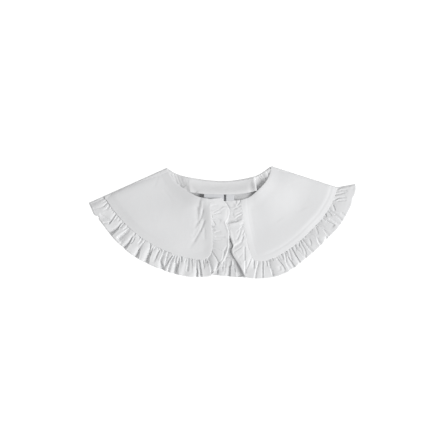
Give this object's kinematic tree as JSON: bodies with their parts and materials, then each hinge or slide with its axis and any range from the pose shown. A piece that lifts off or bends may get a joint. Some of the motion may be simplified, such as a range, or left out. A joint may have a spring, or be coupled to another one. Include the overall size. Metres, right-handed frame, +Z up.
{
  "type": "ruffled collar",
  "caption": "Detachable cotton collar laid flat, fronts folded over the back at the shoulders, with a gathered ruffle round the hem and front edges.",
  "frame": {"origin": "centre of the bottom of the bounding box, on the surface that the collar lies on", "axes": "+X to the right of someone looking down at the front, +Y towards the back neck, +Z up, away from the surface"},
  "size_m": [0.4262, 0.1804, 0.0086],
  "materials": {
    "panel_cotton": "white cotton poplin, matt, smooth plain weave",
    "ruffle_cotton": "white cotton poplin, gathered, with a narrow turned hem",
    "band_cotton": "white cotton poplin, doubled facing",
    "label_tape": "pale woven tape, bare"
  },
  "bodies": {
    "root": {"back_panel": "panel_cotton", "front_panel_left": "panel_cotton", "front_panel_right": "panel_cotton", "back_ruffle": "ruffle_cotton", "ruffle_left": "ruffle_cotton", "ruffle_right": "ruffle_cotton", "neck_band": "band_cotton", "label_wide": "label_tape", "label_small": "label_tape"}
  },
  "joints": []
}
